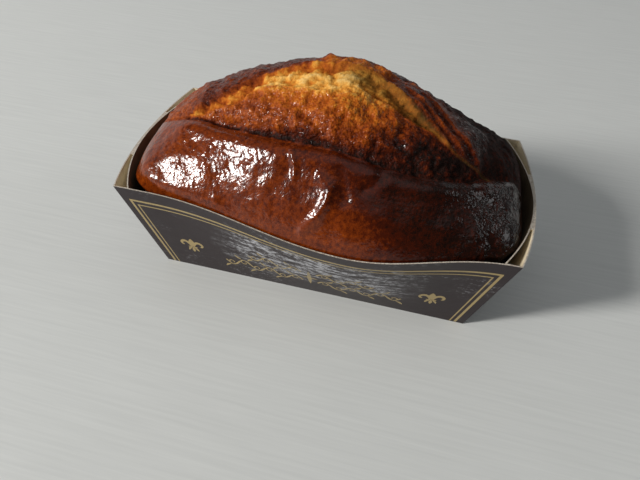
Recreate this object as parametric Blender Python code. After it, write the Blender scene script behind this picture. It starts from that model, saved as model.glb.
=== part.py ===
"""A lemon loaf cake that has burst along its top, in the folded card tray that it was baked in.

Two pieces, each one solid: the cake and the tray. X runs along the loaf, the printed front panel
faces -Y, and the origin is on the table under the middle of the tray.
"""

import math

import bmesh
import bpy
import numpy as np
from mathutils import Vector, noise

# Lengths below are in millimetres, and MM turns them into metres.
MM = 0.001

# The tray, measured over the outside of the card.
RIM_LENGTH = 190.0
RIM_WIDTH = 92.4
BASE_LENGTH = 166.2
BASE_WIDTH = 76.1
LONG_PANEL = 59.7  # from the base fold to the rim, along the slanted card
END_PANEL = 60.3
CARD = 0.6

# The cake has pushed the card out between the four corners.
LONG_PUSH = math.radians(12.6)
FRONT_PUSH_AT, FRONT_PUSH_LEFT, FRONT_PUSH_RIGHT = 22.0, 100.0, 72.0
REAR_PUSH_AT, REAR_PUSH_LEFT, REAR_PUSH_RIGHT = 2.0, 96.0, 92.0
END_PUSH = 7.6

# Each end is a double wall: an inner panel and a folded web outside it, with a pocket at each corner.
POCKET = 7.1  # from the corner to the inner panel, along the rim
POCKET_END = 20.0  # where the two layers meet, from the middle of the end
POCKET_START = 0.1  # of the panel's height, as the pocket closes towards the base

# The cake below and at the rim.
CLEARANCE = 0.3  # from the card
SHOULDER = 60.0  # where the sides turn into the top
BELOW_RIM = 1.2  # the turned edge at the long panels, under their rim
END_DROP = 3.5  # the turned edge at the ends, under the shoulder
SIDE_BAND, END_BAND = 0.22, 0.12  # shares of the top, next to its edges, that turn down
RELIEF_SIDE, RELIEF_END = 0.07, 0.1  # shares in which the relief fades out
FOOT_LENGTH = 163.0
SHOULDER_LEFT = 94.2
SHOULDER_RIGHT = 96.8
CORNER_POWER = 6.0  # of the rounded rectangle that it is in plan
WALL_LEVELS = (36.0, 18.0, 4.0)
FOOT_ROUND = 2.5

# The loaf's crown above the shoulder.
CROWN = 48.4
CROWN_X = 7.0
CROWN_Y = 5.1
ARCH_POWER_LEFT, ARCH_POWER_RIGHT = 1.46, 1.18
FULLNESS_LEFT, FULLNESS_RIGHT = 0.7, 0.774
ARCH_SOFTNESS, ARCH_BLEND = 0.035, 22.0
FRONT_POWER, REAR_POWER, SECTION_FULLNESS = 1.6, 1.85, 0.85
# The front of the section grows fuller towards the left end.
FULL_FROM, FULL_REACH, FULL_GAIN = -45.0, 40.0, 1.2

# The lines of the burst, in plan: the crust's lip, the near edge of the torn crumb and its far edge.
LIP = (
    (-92, -3), (-78, -12.5), (-56, -18.2), (-30, -25.7), (0, -31), (22, -32), (42, -30), (66, -20.7), (90, -2),
)
TEAR_NEAR = (
    (-64, -14.5), (-51, -11.9), (-41, -11), (-34, -6.5), (-25, -5.2), (-13, -7.4), (-1, -9), (9, -6),
    (22, -6.2), (36, -8.9), (47, -9.4), (60, -13),
)
TEAR_FAR = (
    (-68, -12.5), (-59, -7.8), (-50, -3), (-40, 2), (-28, 5.2), (-14, 8.6), (3, 8.3), (19, 6.8), (30, 3.2),
    (39, -2.4), (48, -7), (60, -12.5),
)
# Where the lip and the tear begin and end along X, and how far each takes to rise and to fade.
LIP_REACH = (-86, 97, 22, 14)
TEAR_REACH = (-68, 62, 12, 12)
# Across the lip, each with its place past the lip and its half-width: the roll of the crust in
# front of it, the groove, which grows shallow to the right, and the rise of the dome behind.
ACROSS_LIP = 0.92  # of a step along Y, as the lip runs aslant
ROLL, ROLL_AT, ROLL_WIDTH = 1.1, -3.2, 3.2
GROOVE, GROOVE_AT, GROOVE_WIDTH = 3.0, 1.9, 2.6
GROOVE_FROM, GROOVE_FADE, GROOVE_SHALLOW = -70, 2, 0.62
DOME, DOME_AT, DOME_REACH = 1.5, 2.5, 7.0
# The torn crumb lies lower than the crust on both sides, and is this many millimetres in at its edges.
TEAR_DEPTH, TEAR_NEAR_EDGE, TEAR_FAR_EDGE = 1.8, 2.2, 2.5
# Layers that slid apart at the right end of the tear.
LEDGE_HEIGHT, LEDGE_FACE, LEDGE_BACK = 1.5, 0.9, 2.6
LEDGES = (
    ((20, 6), (30, 3.3), (37, 1.3), (45, -3.4), (58, -11.5)),
    ((29, 10.5), (39, 5), (48, -0.6), (55, -5), (65, -12)),
    ((38, 12), (49, 5.5), (57, -0.5), (65, -5.6), (72, -12)),
)
# Folds in the smooth crust and in the dome, with each one's height and half-width.
FOLDS = (
    (((-9.5, -32), (-7.5, -36), (-6.5, -40)), 1.0, 1.3),
    (((5, -40), (9.8, -43), (9.7, -47), (7, -51), (0.5, -55)), 1.3, 1.9),
    (((12.5, -36.5), (15, -41), (17, -45)), -1.0, 2.4),
    (((24, -40.5), (30, -35)), -0.9, 2.0),
    (((-13, -14), (-9, -17.5), (-3, -21.5), (0, -24)), -1.1, 2.2),
    (((-10, -21), (-5, -23.4), (-1, -25.2)), 0.7, 1.3),
    (((-80, -34), (-71, -38.5), (-57, -42), (-46, -44.5)), 0.8, 4.0),
)
# Small crags along the top: place in plan, radius and height.
LUMPS = (
    (-5.5, 17.0, 3.9, 1.2), (8.0, 16.0, 4.0, 0.7), (22.0, 15.0, 3.5, 0.8), (38.0, 12.0, 3.5, 0.8),
    (-52.0, -2.0, 2.3, 0.9), (-67.0, -1.5, 2.6, 0.8),
    (-45.0, -33.0, 10.0, 1.3), (-25.0, -37.0, 8.0, 0.9),
)

# The uneven surface: its height on the crust and in the burst, and its size.
CRUST_NOISE, CRUMB_NOISE, NOISE_SIZE = 0.35, 0.9, 7.5
# Where the burst begins behind the lip and ends along Y, each with its fade.
BURST_FRONT, BURST_REAR = (2, 5), (26, 12)
SEED_OFFSET = Vector((3.7, 1.9, 8.3))

# The top's mesh, over the square -1..1: its rows lie closer at the rim and along the lip, and follow
# the lip. Each gain in density has a width.
GRID_LONG, GRID_ACROSS = 66, 42
LIP_ROW, LAST_ROW_MOVED = -0.5, 0.7
RIM_ROWS, RIM_ROWS_WIDTH = 0.9, 0.12
LIP_ROWS, LIP_ROWS_WIDTH = 1.5, 0.13


def bell(distance, left, right):
    """1 at zero, falling to 0 at the given reach on each side."""
    reach = np.where(distance < 0, left, right)
    return 0.5 + 0.5 * np.cos(math.pi * np.clip(np.abs(distance) / reach, 0, 1))


def smooth_step(value):
    value = np.clip(value, 0.0, 1.0)
    return value * value * (3 - 2 * value)


def between(x, start, end, rise, fade):
    """1 from start to end, with soft ends inside them."""
    return smooth_step((x - start) / rise) * smooth_step((end - x) / fade)


def hill(distance, width):
    return np.exp(-((distance / width) ** 2))


def smooth_line(points, x):
    """Y of the smooth line through the points at x, level with its end points beyond them."""
    px, py = np.array(points, float).T
    slope = np.gradient(py, px)
    x = np.clip(x, px[0], px[-1])
    i = np.clip(np.searchsorted(px, x) - 1, 0, len(px) - 2)
    step = px[i + 1] - px[i]
    t = (x - px[i]) / step
    return (
        (2 * t**3 - 3 * t**2 + 1) * py[i]
        + (t**3 - 2 * t**2 + t) * step * slope[i]
        + (3 * t**2 - 2 * t**3) * py[i + 1]
        + (t**3 - t**2) * step * slope[i + 1]
    )


def distance_to_path(points, x, y):
    """Distance in plan from (x, y) to the path through the points."""
    nearest = np.full(np.shape(x), np.inf)
    for (x0, y0), (x1, y1) in zip(points, points[1:]):
        dx, dy = x1 - x0, y1 - y0
        t = np.clip(((x - x0) * dx + (y - y0) * dy) / (dx * dx + dy * dy), 0, 1)
        nearest = np.minimum(nearest, np.hypot(x - x0 - t * dx, y - y0 - t * dy))
    return nearest


# The card tray


CORNER_LEAN = math.asin((RIM_WIDTH - BASE_WIDTH) / 2 / LONG_PANEL)
CORNER_HEIGHT = LONG_PANEL * math.cos(CORNER_LEAN)


def lean(rim_x, side):
    """Angle from upright of the front (-1) or rear (1) panel, on the line up it that ends at rim_x."""
    front = bell(rim_x - FRONT_PUSH_AT, FRONT_PUSH_LEFT, FRONT_PUSH_RIGHT)
    rear = bell(rim_x - REAR_PUSH_AT, REAR_PUSH_LEFT, REAR_PUSH_RIGHT)
    return CORNER_LEAN + LONG_PUSH * np.where(side < 0, front, rear)


def panel_face(x, z, side, inset):
    """Distance from the middle line of a long panel's face, inset into the card or past it."""
    length_here = BASE_LENGTH + (RIM_LENGTH - BASE_LENGTH) * z / CORNER_HEIGHT
    angle = lean(x * RIM_LENGTH / length_here, side)
    return BASE_WIDTH / 2 + z * np.tan(angle) - inset / np.cos(angle)


def end_face(rim_y, height, layer, inset):
    """Point (x, y, z) on an end wall at a fraction of its height: the outer web, or the inner panel."""
    middle = 1 - (rim_y / (RIM_WIDTH / 2)) ** 2
    reach = RIM_LENGTH / 2 + END_PUSH * middle
    if layer == "inner":
        reach -= POCKET - (POCKET - CARD) * middle
    out = reach - BASE_LENGTH / 2
    rise = math.sqrt(END_PANEL**2 - out**2)
    y = rim_y * (BASE_WIDTH + (RIM_WIDTH - BASE_WIDTH) * height) / RIM_WIDTH
    return BASE_LENGTH / 2 + out * height - inset, y, rise * height


def tray_ring(height, inset, layer, floor):
    """One loop round the tray, anticlockwise from above, at a fraction of the panels' height."""
    ring = []
    corner = RIM_LENGTH / 2 if layer == "outer" else RIM_LENGTH / 2 - POCKET - CARD
    long_stations = np.linspace(-1, 1, 37)
    end_stations = np.linspace(-1, 1, 15)[1:-1]
    for side, stations in ((-1, long_stations), (1, long_stations[::-1])):
        for station in stations:
            base_x = station * (BASE_LENGTH / 2 - inset)
            x = base_x + (station * corner - base_x) * height
            z = max(height * LONG_PANEL * math.cos(lean(station * corner, side)), floor)
            ring.append((x, side * float(panel_face(x, z, side, inset)), z))
        end = 1 if side < 0 else -1
        for station in end_stations if end > 0 else end_stations[::-1]:
            rim_y = station * (RIM_WIDTH / 2 - inset)
            x, y, z = end_face(rim_y, height, layer, inset)
            ring.append((end * x, y, max(z, floor)))
    return ring


def pocket_ring(height, end, side):
    """The pocket between the two layers of an end, at one of its corners."""
    stations = np.linspace(RIM_WIDTH / 2 - CARD, POCKET_END, 7)
    inner = [end_face(rim_y, height, "inner", 0.0) for rim_y in stations]
    outer = [end_face(rim_y, height, "outer", CARD) for rim_y in stations[::-1]]
    ring = [(end * x, side * y, z) for x, y, z in inner + outer]
    return ring if end * side < 0 else ring[::-1]


def loft(name, rings):
    """A closed body through rings of equal length, each end closed by a fan to its middle."""
    form = bmesh.new()
    loops = [[form.verts.new(Vector(point) * MM) for point in ring] for ring in rings]
    count = len(rings[0])
    for lower, upper in zip(loops, loops[1:]):
        for i in range(count):
            form.faces.new((lower[i], lower[(i + 1) % count], upper[(i + 1) % count], upper[i]))
    for loop in (loops[0], loops[-1]):
        centre = form.verts.new(sum((vert.co for vert in loop), Vector()) / count)
        for i in range(count):
            form.faces.new((loop[i], loop[(i + 1) % count], centre))
    bmesh.ops.recalc_face_normals(form, faces=form.faces)
    return object_from(name, form)


def object_from(name, form):
    mesh = bpy.data.meshes.new(name)
    form.to_mesh(mesh)
    form.free()
    return bpy.data.objects.new(name, mesh)


def cut(body, cutter):
    cutter.hide_render = True
    cutter.display_type = "WIRE"
    boolean = body.modifiers.new(cutter.name, "BOOLEAN")
    boolean.operation = "DIFFERENCE"
    boolean.object = cutter
    boolean.solver = "EXACT"


def make_tray(parts, cutters):
    above_rim = 1.08
    tray = loft("tray", [tray_ring(height, 0.0, "outer", 0.0) for height in (0, 1 / 3, 2 / 3, 1)])
    parts.objects.link(tray)
    heights = (0, 1 / 3, 2 / 3, above_rim)
    well = loft("tray_well", [tray_ring(height, CARD, "inner", CARD) for height in heights])
    cutters.objects.link(well)
    cut(tray, well)
    for end in (-1, 1):
        for side in (-1, 1):
            name = f"tray_pocket_{'left' if end < 0 else 'right'}_{'front' if side < 0 else 'rear'}"
            rings = [pocket_ring(height, end, side) for height in (POCKET_START, 0.5, above_rim)]
            pocket = loft(name, rings)
            cutters.objects.link(pocket)
            cut(tray, pocket)
    return tray


# The cake


def squeeze(u, v):
    """Rounds the corners of the square -1..1, and leaves its middle as it is."""
    small = np.minimum(np.abs(u), np.abs(v))
    large = np.maximum(np.maximum(np.abs(u), np.abs(v)), 1e-9)
    rounded = (1 + (small / large) ** CORNER_POWER) ** (-1 / CORNER_POWER)
    factor = 1 - (1 - rounded) * large**3
    return u * factor, v * factor


def narrowing(x):
    """Share of its full width that the cake has at x, from its rounded ends."""
    share = np.abs(x) / np.where(x < 0, SHOULDER_LEFT, SHOULDER_RIGHT)
    return np.clip(1 - share**CORNER_POWER, 0, 1) ** (1 / CORNER_POWER)


def outline(u, v, z):
    """Plan position of a point of the rounded rectangle on the cake's outline at height z."""
    along, across = squeeze(u, v)
    shoulder = np.where(along < 0, SHOULDER_LEFT, SHOULDER_RIGHT)
    x = along * (FOOT_LENGTH / 2 + (shoulder - FOOT_LENGTH / 2) * z / SHOULDER)
    side = np.where(across < 0, -1.0, 1.0)
    return x, across * panel_face(x, z, side, CARD + CLEARANCE)


def spread_rows(rows, density):
    """Moves rows that are even over -1..1 so that they lie closer where the density is high."""
    fine = np.linspace(-1, 1, 801)
    total = np.concatenate(([0], np.cumsum((density(fine[1:]) + density(fine[:-1])) / 2)))
    return np.interp((rows + 1) / 2 * total[-1], total, fine)


def near_rim(rows):
    return RIM_ROWS * hill(1 - np.abs(rows), RIM_ROWS_WIDTH)


def near_lip(rows):
    return LIP_ROWS * hill(rows - LIP_ROW, LIP_ROWS_WIDTH)


def follow_lip(x, y, v):
    """Slides the rows along Y until the lip's row lies on the lip, and the outline stays."""
    width = np.abs(panel_face(x, SHOULDER, -1.0, CARD + CLEARANCE))
    shift = smooth_line(LIP, x) - LIP_ROW * width
    before, behind = (v + 1) / (1 + LIP_ROW), (LAST_ROW_MOVED - v) / (LAST_ROW_MOVED - LIP_ROW)
    share = smooth_step(np.where(v < LIP_ROW, before, behind))
    return y + shift * share * between(x, -88, 88, 30, 30)


def arch(x):
    """Height of the crown line over the shoulder, as a share of the crown."""
    reach = np.where(x < CROWN_X, SHOULDER_LEFT + CROWN_X, SHOULDER_RIGHT - CROWN_X)
    right = smooth_step((x - CROWN_X) / ARCH_BLEND + 0.5)
    power = ARCH_POWER_LEFT + (ARCH_POWER_RIGHT - ARCH_POWER_LEFT) * right
    away = np.hypot((x - CROWN_X) / reach, ARCH_SOFTNESS)
    fullness = FULLNESS_LEFT + (FULLNESS_RIGHT - FULLNESS_LEFT) * right
    return np.clip(1 - away**power, 0, 1) ** fullness


def loaf_top(x, y):
    """Height of the plain loaf, without its burst and folds."""
    width = narrowing(x)
    crown_y = CROWN_Y * width
    front = panel_face(x, SHOULDER, -1.0, CARD + CLEARANCE) * width + crown_y
    rear = panel_face(x, SHOULDER, 1.0, CARD + CLEARANCE) * width - crown_y
    reach = np.maximum(np.where(y < crown_y, front, rear), 1e-6)
    away = np.abs(y - crown_y) / reach
    front_power = FRONT_POWER + FULL_GAIN * smooth_step((FULL_FROM - x) / FULL_REACH)
    power = np.where(y < crown_y, front_power, REAR_POWER)
    section = (1 - np.clip(away, 0, 1) ** power) ** SECTION_FULLNESS
    return SHOULDER + CROWN * arch(x) * section


def lip_and_groove(x, y):
    """The smooth crust ends in a rolled lip, and the dome comes up behind a groove."""
    past = (y - smooth_line(LIP, x)) * ACROSS_LIP
    deep = smooth_step((x - GROOVE_FROM) / 22) * (1 - GROOVE_SHALLOW * smooth_step((x - GROOVE_FADE) / 34))
    roll = ROLL * hill(past - ROLL_AT, ROLL_WIDTH)
    groove = GROOVE * deep * hill(past - GROOVE_AT, GROOVE_WIDTH)
    dome = DOME * smooth_step((past - DOME_AT) / DOME_REACH)
    return between(x, *LIP_REACH) * (roll - groove + dome)


def torn_crumb(x, y):
    """The tear lies lower than the crust on both sides of it."""
    past_near = smooth_step((y - smooth_line(TEAR_NEAR, x)) / TEAR_NEAR_EDGE)
    before_far = smooth_step((smooth_line(TEAR_FAR, x) - y) / TEAR_FAR_EDGE)
    return -TEAR_DEPTH * between(x, *TEAR_REACH) * past_near * before_far


def ledges(x, y):
    """Each slid layer has a steep near edge and falls away behind it."""
    rise = np.zeros(np.shape(x))
    for line in LEDGES:
        fade = between(x, line[0][0] - 2, line[-1][0] + 1, 8, 8)
        past = (y - smooth_line(line, x)) * math.sqrt(0.5)
        rise += LEDGE_HEIGHT * fade * np.where(past < 0, hill(past, LEDGE_FACE), np.exp(-past / LEDGE_BACK))
    return rise


def folds(x, y):
    rise = np.zeros(np.shape(x))
    for path, height, width in FOLDS:
        rise += height * hill(distance_to_path(path, x, y), width)
    return rise


def lumps(x, y):
    rise = np.zeros(np.shape(x))
    for lump_x, lump_y, radius, height in LUMPS:
        rise += height * hill(np.hypot(x - lump_x, y - lump_y), radius)
    return rise


def burst_share(x, y):
    """1 on the open dome, crumb and ledges, 0 on the smooth crust."""
    (front, front_fade), (rear, rear_fade) = BURST_FRONT, BURST_REAR
    return smooth_step((y - smooth_line(LIP, x) - front) / front_fade) * smooth_step((rear - y) / rear_fade)


def unevenness(x, y):
    """Bubbles and crumbs: coarse in the burst, faint on the crust."""
    places = [Vector((px, py, 0)) / NOISE_SIZE + SEED_OFFSET for px, py in zip(x, y)]
    coarse = np.array([noise.noise(place) for place in places])
    return coarse * (CRUST_NOISE + (CRUMB_NOISE - CRUST_NOISE) * burst_share(x, y))


def relief(x, y):
    burst = lip_and_groove(x, y) + torn_crumb(x, y) + ledges(x, y)
    return burst + folds(x, y) + lumps(x, y) + unevenness(x, y)


def inside_edge(u, v, end_band, side_band):
    """0 on the edge of the top, and 1 from each band's width inwards."""
    return np.clip((1 - np.abs(u)) / end_band, 0, 1), np.clip((1 - np.abs(v)) / side_band, 0, 1)


def turned_down(u, v, x):
    """How far the top has turned down next to its edge, which ends just under the rim of the long panels."""
    from_end, from_side = inside_edge(u, v, END_BAND, SIDE_BAND)
    side_drop = SHOULDER + BELOW_RIM - LONG_PANEL * np.cos(lean(x, np.where(v < 0, -1.0, 1.0)))
    near_end = smooth_step((np.abs(u) - 0.8) / 0.2)
    share = 1 - (1 - (1 - from_end) ** 2) * (1 - (1 - from_side) ** 2)
    return share * (side_drop + (END_DROP - side_drop) * near_end)


def top_points(u, v):
    """The finished top over the square -1..1: the loaf, moved along its own normal by the relief."""
    x, y = outline(u, v, SHOULDER)
    drop = turned_down(u, v, x)
    y = follow_lip(x, y, v)
    turned_x, turned_y = outline(u, v, SHOULDER - drop)
    turned_y = follow_lip(turned_x, turned_y, v)
    step = 0.5
    slope_x = (loaf_top(x + step, y) - loaf_top(x - step, y)) / (2 * step)
    slope_y = (loaf_top(x, y + step) - loaf_top(x, y - step)) / (2 * step)
    steep = np.sqrt(1 + slope_x**2 + slope_y**2)
    inside = np.minimum(*inside_edge(u, v, RELIEF_END, RELIEF_SIDE))
    rise = relief(x, y) * smooth_step(inside)
    z = loaf_top(x, y) - drop + rise / steep
    return np.stack((turned_x - slope_x / steep * rise, turned_y - slope_y / steep * rise, z), -1)


def make_cake(parts):
    """The top is a grid, and its edge is drawn down level by level to the flat foot."""
    form = bmesh.new()
    bmesh.ops.create_grid(form, x_segments=GRID_LONG, y_segments=GRID_ACROSS, size=1)
    square = np.array([vert.co[:2] for vert in form.verts])
    u = spread_rows(square[:, 0], lambda rows: 1 + near_rim(rows))
    v = spread_rows(square[:, 1], lambda rows: 1 + near_rim(rows) + near_lip(rows))
    layer_u, layer_v = form.verts.layers.float.new("u"), form.verts.layers.float.new("v")
    for vert, vert_u, vert_v, point in zip(form.verts, u, v, top_points(u, v)):
        vert[layer_u], vert[layer_v] = vert_u, vert_v
        vert.co = Vector(point) * MM
    edges = [edge for edge in form.edges if edge.is_boundary]
    foot = CARD + CLEARANCE
    for z in (*WALL_LEVELS, foot):
        inset = FOOT_ROUND if z == foot else 0.0
        made = bmesh.ops.extrude_edge_only(form, edges=edges)["geom"]
        edges = [item for item in made if isinstance(item, bmesh.types.BMEdge) and item.is_boundary]
        for vert in {vert for edge in edges for vert in edge.verts}:
            x, y = outline(np.float64(vert[layer_u]), np.float64(vert[layer_v]), z)
            vert.co = Vector((x * (1 - 2 * inset / FOOT_LENGTH), y * (1 - 2 * inset / BASE_WIDTH), z)) * MM
    middle = form.verts.new((0, 0, foot * MM))
    for edge in edges:
        form.faces.new((*edge.verts, middle))
    bmesh.ops.recalc_face_normals(form, faces=form.faces)
    cake = object_from("cake", form)
    parts.objects.link(cake)
    return cake


# Materials and the scene


def finish(thing, name, colour, roughness):
    material = bpy.data.materials.new(name)
    material.use_nodes = True
    shader = material.node_tree.nodes["Principled BSDF"]
    shader.inputs["Base Color"].default_value = (*colour, 1.0)
    shader.inputs["Roughness"].default_value = roughness
    shader.inputs["Metallic"].default_value = 0.0
    material.diffuse_color = (*colour, 1.0)
    thing.data.materials.append(material)


def clear_scene():
    for thing in list(bpy.data.objects):
        bpy.data.objects.remove(thing, do_unlink=True)


def collection(name):
    made = bpy.data.collections.new(name)
    bpy.context.scene.collection.children.link(made)
    return made


def main():
    clear_scene()
    parts = collection("lemon_cake")
    cutters = collection("cutters")
    tray = make_tray(parts, cutters)
    finish(tray, "printed_card", (0.045, 0.036, 0.034), 0.45)
    cake = make_cake(parts)
    finish(cake, "baked_crust", (0.22, 0.075, 0.025), 0.4)
    cake.data.shade_smooth()


main()
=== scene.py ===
"""The looks of a lemon loaf cake that burst along its top, in the folded card tray it was baked in.

Lengths are in millimetres until they go on a mesh, and MM turns them into metres. X runs along the
loaf, and the front panel of the tray faces -Y.
"""

import math

import bmesh
import bpy
import numpy as np
from mathutils import Matrix, Vector, noise


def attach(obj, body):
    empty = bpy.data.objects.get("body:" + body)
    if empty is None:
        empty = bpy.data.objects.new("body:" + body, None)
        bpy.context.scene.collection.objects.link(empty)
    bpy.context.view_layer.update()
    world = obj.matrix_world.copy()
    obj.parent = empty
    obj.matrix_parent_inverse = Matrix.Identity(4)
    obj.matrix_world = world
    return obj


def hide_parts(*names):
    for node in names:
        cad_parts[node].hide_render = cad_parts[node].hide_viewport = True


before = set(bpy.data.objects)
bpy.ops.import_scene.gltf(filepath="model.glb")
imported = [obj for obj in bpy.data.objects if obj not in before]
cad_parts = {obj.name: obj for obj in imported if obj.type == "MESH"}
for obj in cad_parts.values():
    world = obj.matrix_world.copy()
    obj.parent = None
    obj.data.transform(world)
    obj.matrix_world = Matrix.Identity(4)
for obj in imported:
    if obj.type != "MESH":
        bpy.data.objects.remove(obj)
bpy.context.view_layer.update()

MM = 0.001

# The tray, as in the frame.
RIM_LENGTH, RIM_WIDTH = 190.0, 92.4
BASE_LENGTH, BASE_WIDTH = 166.2, 76.1
LONG_PANEL, END_PANEL, CARD = 59.7, 60.3, 0.6
LONG_PUSH = math.radians(12.6)
FRONT_PUSH_AT, FRONT_PUSH_LEFT, FRONT_PUSH_RIGHT = 22.0, 100.0, 72.0
REAR_PUSH_AT, REAR_PUSH_LEFT, REAR_PUSH_RIGHT = 2.0, 96.0, 92.0
END_PUSH = 7.6
POCKET, POCKET_END, POCKET_START = 7.1, 20.0, 0.1
LONG_STATIONS, END_STATIONS, POCKET_STATIONS = 121, 41, 17
# Levels of the loops, as shares of the panels' height.
LEVELS = (0, 0.25, 0.5, 0.75, 1)
ABOVE_RIM = 1.08
POCKET_LEVELS = (POCKET_START, 0.4, 0.7, ABOVE_RIM)

# The cake, as in the frame.
CLEARANCE = 0.3
SHOULDER, BELOW_RIM, END_DROP = 60.0, 1.2, 3.5
SIDE_BAND, END_BAND, RELIEF_SIDE, RELIEF_END = 0.22, 0.12, 0.07, 0.1
FOOT_LENGTH, SHOULDER_LEFT, SHOULDER_RIGHT = 163.0, 94.2, 96.8
CORNER_POWER = 6.0
WALL_LEVELS = (50.0, 36.0, 18.0, 4.0)
FOOT_ROUND = 2.5
CROWN, CROWN_X, CROWN_Y = 48.4, 7.0, 5.1
ARCH_POWER_LEFT, ARCH_POWER_RIGHT = 1.46, 1.18
FULLNESS_LEFT, FULLNESS_RIGHT = 0.7, 0.774
ARCH_SOFTNESS, ARCH_BLEND = 0.035, 22.0
FRONT_POWER, REAR_POWER, SECTION_FULLNESS = 1.6, 1.85, 0.85
# The front of the section grows fuller towards the left end.
FULL_FROM, FULL_REACH, FULL_GAIN = -45.0, 40.0, 1.2
# The lip of the smooth crust, and the two edges of the torn crumb, in plan.
LIP = (
    (-92, -3), (-78, -12.5), (-56, -18.2), (-30, -25.7), (0, -31), (22, -32), (42, -30), (66, -20.7),
    (90, -2),
)
TEAR_NEAR = (
    (-64, -14.5), (-51, -11.9), (-41, -11), (-34, -6.5), (-25, -5.2), (-13, -7.4), (-1, -9), (9, -6),
    (22, -6.2), (36, -8.9), (47, -9.4), (60, -13),
)
TEAR_FAR = (
    (-68, -12.5), (-59, -7.8), (-50, -3), (-40, 2), (-28, 5.2), (-14, 8.6), (3, 8.3), (19, 6.8), (30, 3.2),
    (39, -2.4), (48, -7), (60, -12.5),
)
LIP_REACH, TEAR_REACH = (-86, 97, 22, 14), (-68, 62, 12, 12)
ACROSS_LIP = 0.92
ROLL, ROLL_AT, ROLL_WIDTH = 1.1, -3.2, 3.2
GROOVE, GROOVE_AT, GROOVE_WIDTH = 3.0, 1.9, 2.6
GROOVE_FROM, GROOVE_FADE, GROOVE_SHALLOW = -70, 2, 0.62
DOME, DOME_AT, DOME_REACH = 1.5, 2.5, 7.0
TEAR_DEPTH, TEAR_NEAR_EDGE, TEAR_FAR_EDGE = 1.8, 2.2, 2.5
LEDGE_HEIGHT, LEDGE_FACE, LEDGE_BACK = 1.5, 0.9, 2.6
# The layers that slid apart at the right end of the tear.
LEDGES = (
    ((20, 6), (30, 3.3), (37, 1.3), (45, -3.4), (58, -11.5)),
    ((29, 10.5), (39, 5), (48, -0.6), (55, -5), (65, -12)),
    ((38, 12), (49, 5.5), (57, -0.5), (65, -5.6), (72, -12)),
)
# Folds and creases in the crust: a path in plan, height and width.
FOLDS = (
    (((-9.5, -32), (-7.5, -36), (-6.5, -40)), 1.0, 1.3),
    (((5, -40), (9.8, -43), (9.7, -47), (7, -51), (0.5, -55)), 1.3, 1.9),
    (((12.5, -36.5), (15, -41), (17, -45)), -1.0, 2.4),
    (((24, -40.5), (30, -35)), -0.9, 2.0),
    (((-13, -14), (-9, -17.5), (-3, -21.5), (0, -24)), -1.1, 2.2),
    (((-10, -21), (-5, -23.4), (-1, -25.2)), 0.7, 1.3),
    (((-84, -37), (-71, -43.4), (-57, -47), (-44, -49.5)), 2.0, 4.2),
)
# Crags on the skyline and two swellings in the front crust: place in plan, radius and height.
LUMPS = (
    (-5.5, 17.0, 3.9, 1.2), (8.0, 16.0, 4.0, 0.7), (22.0, 15.0, 3.5, 0.8), (38.0, 12.0, 3.5, 0.8),
    (-52.0, -2.0, 2.3, 0.9), (-67.0, -1.5, 2.6, 0.8),
    (-47.0, -33.0, 9.0, 1.3), (-25.0, -37.0, 8.0, 0.9),
)
CRUST_NOISE, CRUMB_NOISE, NOISE_SIZE = 0.35, 0.9, 7.5
BURST_FRONT, BURST_REAR = (2, 5), (26, 12)
SEED_OFFSET = Vector((3.7, 1.9, 8.3))

# The fine mesh of the cake's top.
GRID_LONG, GRID_ACROSS = 330, 275
LIP_ROW, LAST_ROW_MOVED = -0.5, 0.7
RIM_ROWS, RIM_ROWS_WIDTH = 0.5, 0.12
LIP_ROWS, LIP_ROWS_WIDTH = 0.8, 0.3


# Curves and steps


def bell(distance, left, right):
    """1 at zero, falling to 0 at the given reach on each side."""
    reach = np.where(distance < 0, left, right)
    return 0.5 + 0.5 * np.cos(math.pi * np.clip(np.abs(distance) / reach, 0, 1))


def smooth_step(value):
    value = np.clip(value, 0.0, 1.0)
    return value * value * (3 - 2 * value)


def rising(value, start, end):
    """0 at start and 1 at end, with soft ends. It falls where end is the smaller."""
    return smooth_step((value - start) / (end - start))


def between(x, start, end, rise, fade):
    """1 from start to end, with soft ends inside them."""
    return smooth_step((x - start) / rise) * smooth_step((end - x) / fade)


def hill(distance, width):
    return np.exp(-((distance / width) ** 2))


def smooth_line(points, x):
    """Y of the smooth line through the points at x, level with its end points beyond them."""
    px, py = np.array(points, float).T
    slope = np.gradient(py, px)
    x = np.clip(x, px[0], px[-1])
    i = np.clip(np.searchsorted(px, x) - 1, 0, len(px) - 2)
    step = px[i + 1] - px[i]
    t = (x - px[i]) / step
    return (
        (2 * t**3 - 3 * t**2 + 1) * py[i]
        + (t**3 - 2 * t**2 + t) * step * slope[i]
        + (3 * t**2 - 2 * t**3) * py[i + 1]
        + (t**3 - t**2) * step * slope[i + 1]
    )


def distance_to_path(points, x, y):
    """Distance in plan from (x, y) to the path through the points."""
    nearest = np.full(np.shape(x), np.inf)
    for (x0, y0), (x1, y1) in zip(points, points[1:]):
        dx, dy = x1 - x0, y1 - y0
        t = np.clip(((x - x0) * dx + (y - y0) * dy) / (dx * dx + dy * dy), 0, 1)
        nearest = np.minimum(nearest, np.hypot(x - x0 - t * dx, y - y0 - t * dy))
    return nearest


def swells(place, size, octaves=1, seed=0.0):
    """Soft noise about 0, over points in millimetres."""
    offset = np.array(SEED_OFFSET) + seed
    total, share = np.zeros(len(place)), 1.0
    for octave in range(octaves):
        spots = (place * (2**octave / size) + offset + 5.3 * octave).tolist()
        total += share * np.array([noise.noise(spot) for spot in spots])
        share *= 0.5
    return total


def pebbles(place, size, seed=0.0):
    """0 in the seams between the cells of a bubbly surface, and up to 1 on their tops."""
    spots = (place / size + np.array(SEED_OFFSET) + seed).tolist()
    near, following = np.array([noise.voronoi(spot)[0][:2] for spot in spots]).T
    return np.sqrt(np.clip(following - near, 0, 1))


# The form of the card tray


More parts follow.
